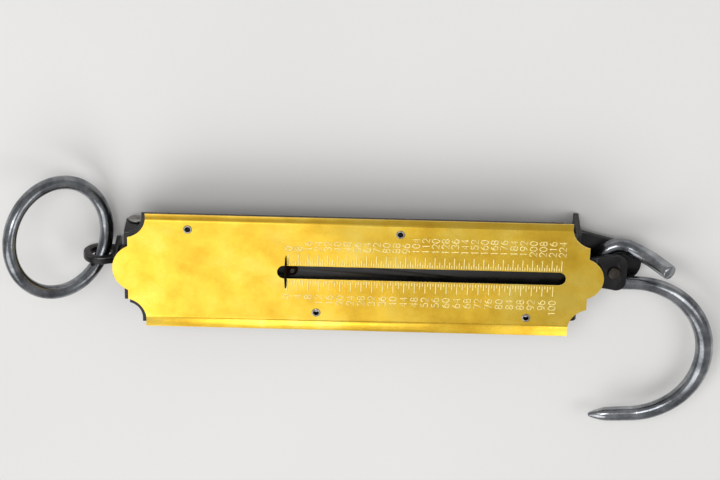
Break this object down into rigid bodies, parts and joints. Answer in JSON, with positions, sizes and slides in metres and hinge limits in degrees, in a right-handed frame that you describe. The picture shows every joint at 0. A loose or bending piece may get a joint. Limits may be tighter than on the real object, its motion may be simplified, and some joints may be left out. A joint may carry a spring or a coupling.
{
  "type": "spring balance",
  "caption": "Flat hanging spring balance: a brass scale face over an open steel frame, two draw springs, a sliding pointer, a carrying ring and a swivelling load hook.",
  "frame": {"origin": "on the table under the middle of the balance as it lies on its back, ring and hook included", "axes": "+X from the ring to the hook, the way the load pulls; +Y up the scale face; +Z out of the face"},
  "size_m": [0.3647, 0.1377, 0.0485],
  "materials": {
    "stamped_brass": "thin polished brass sheet, stamped with a scale",
    "black_enamel": "thin black enamel, worn at the edges",
    "nickel_plate": "dull nickel plate over drawn rod",
    "tinned_rivet": "tinned steel with dark bores",
    "bright_steel": "turned steel, lightly oiled",
    "spring_steel": "oil-tempered spring wire",
    "browned_steel": "browned sheet steel"
  },
  "bodies": {
    "body": {"face_plate": "stamped_brass", "face_rivets": "tinned_rivet", "frame": "black_enamel", "top_bracket": "black_enamel", "bracket_rivets": "black_enamel", "top_pin": "bright_steel", "pin_spacers": "bright_steel", "ring_lug": "black_enamel", "spring_left": "spring_steel", "spring_right": "spring_steel"},
    "slider": {"draw_plate": "black_enamel", "draw_bar": "black_enamel", "slider_block": "black_enamel", "slider_rivets": "black_enamel", "pointer": "browned_steel", "pointer_rivet": "tinned_rivet", "hook_pin": "bright_steel", "hook_washer": "bright_steel"},
    "ring": {"ring": "nickel_plate"},
    "hook": {"hook": "nickel_plate"}
  },
  "joints": [
    {"name": "draw", "type": "slide", "parent": "body", "child": "slider", "axis": [1, 0, 0], "range_m": [0, 0.138], "stiffness_N_per_m": 7213, "springref_m": -0.002, "deforming": ["spring_left", "spring_right"]},
    {"name": "ring_swing", "type": "hinge", "parent": "body", "child": "ring", "pos_m": [-0.13602, 0.02221, 0.014], "axis": [0, 1, 0], "range_deg": [-125, 50]},
    {"name": "hook_swing", "type": "hinge", "parent": "slider", "child": "hook", "pos_m": [0.12698, 0.02221, 0.014], "axis": [0, 0, 1], "range_deg": [-60, 90]}
  ]
}
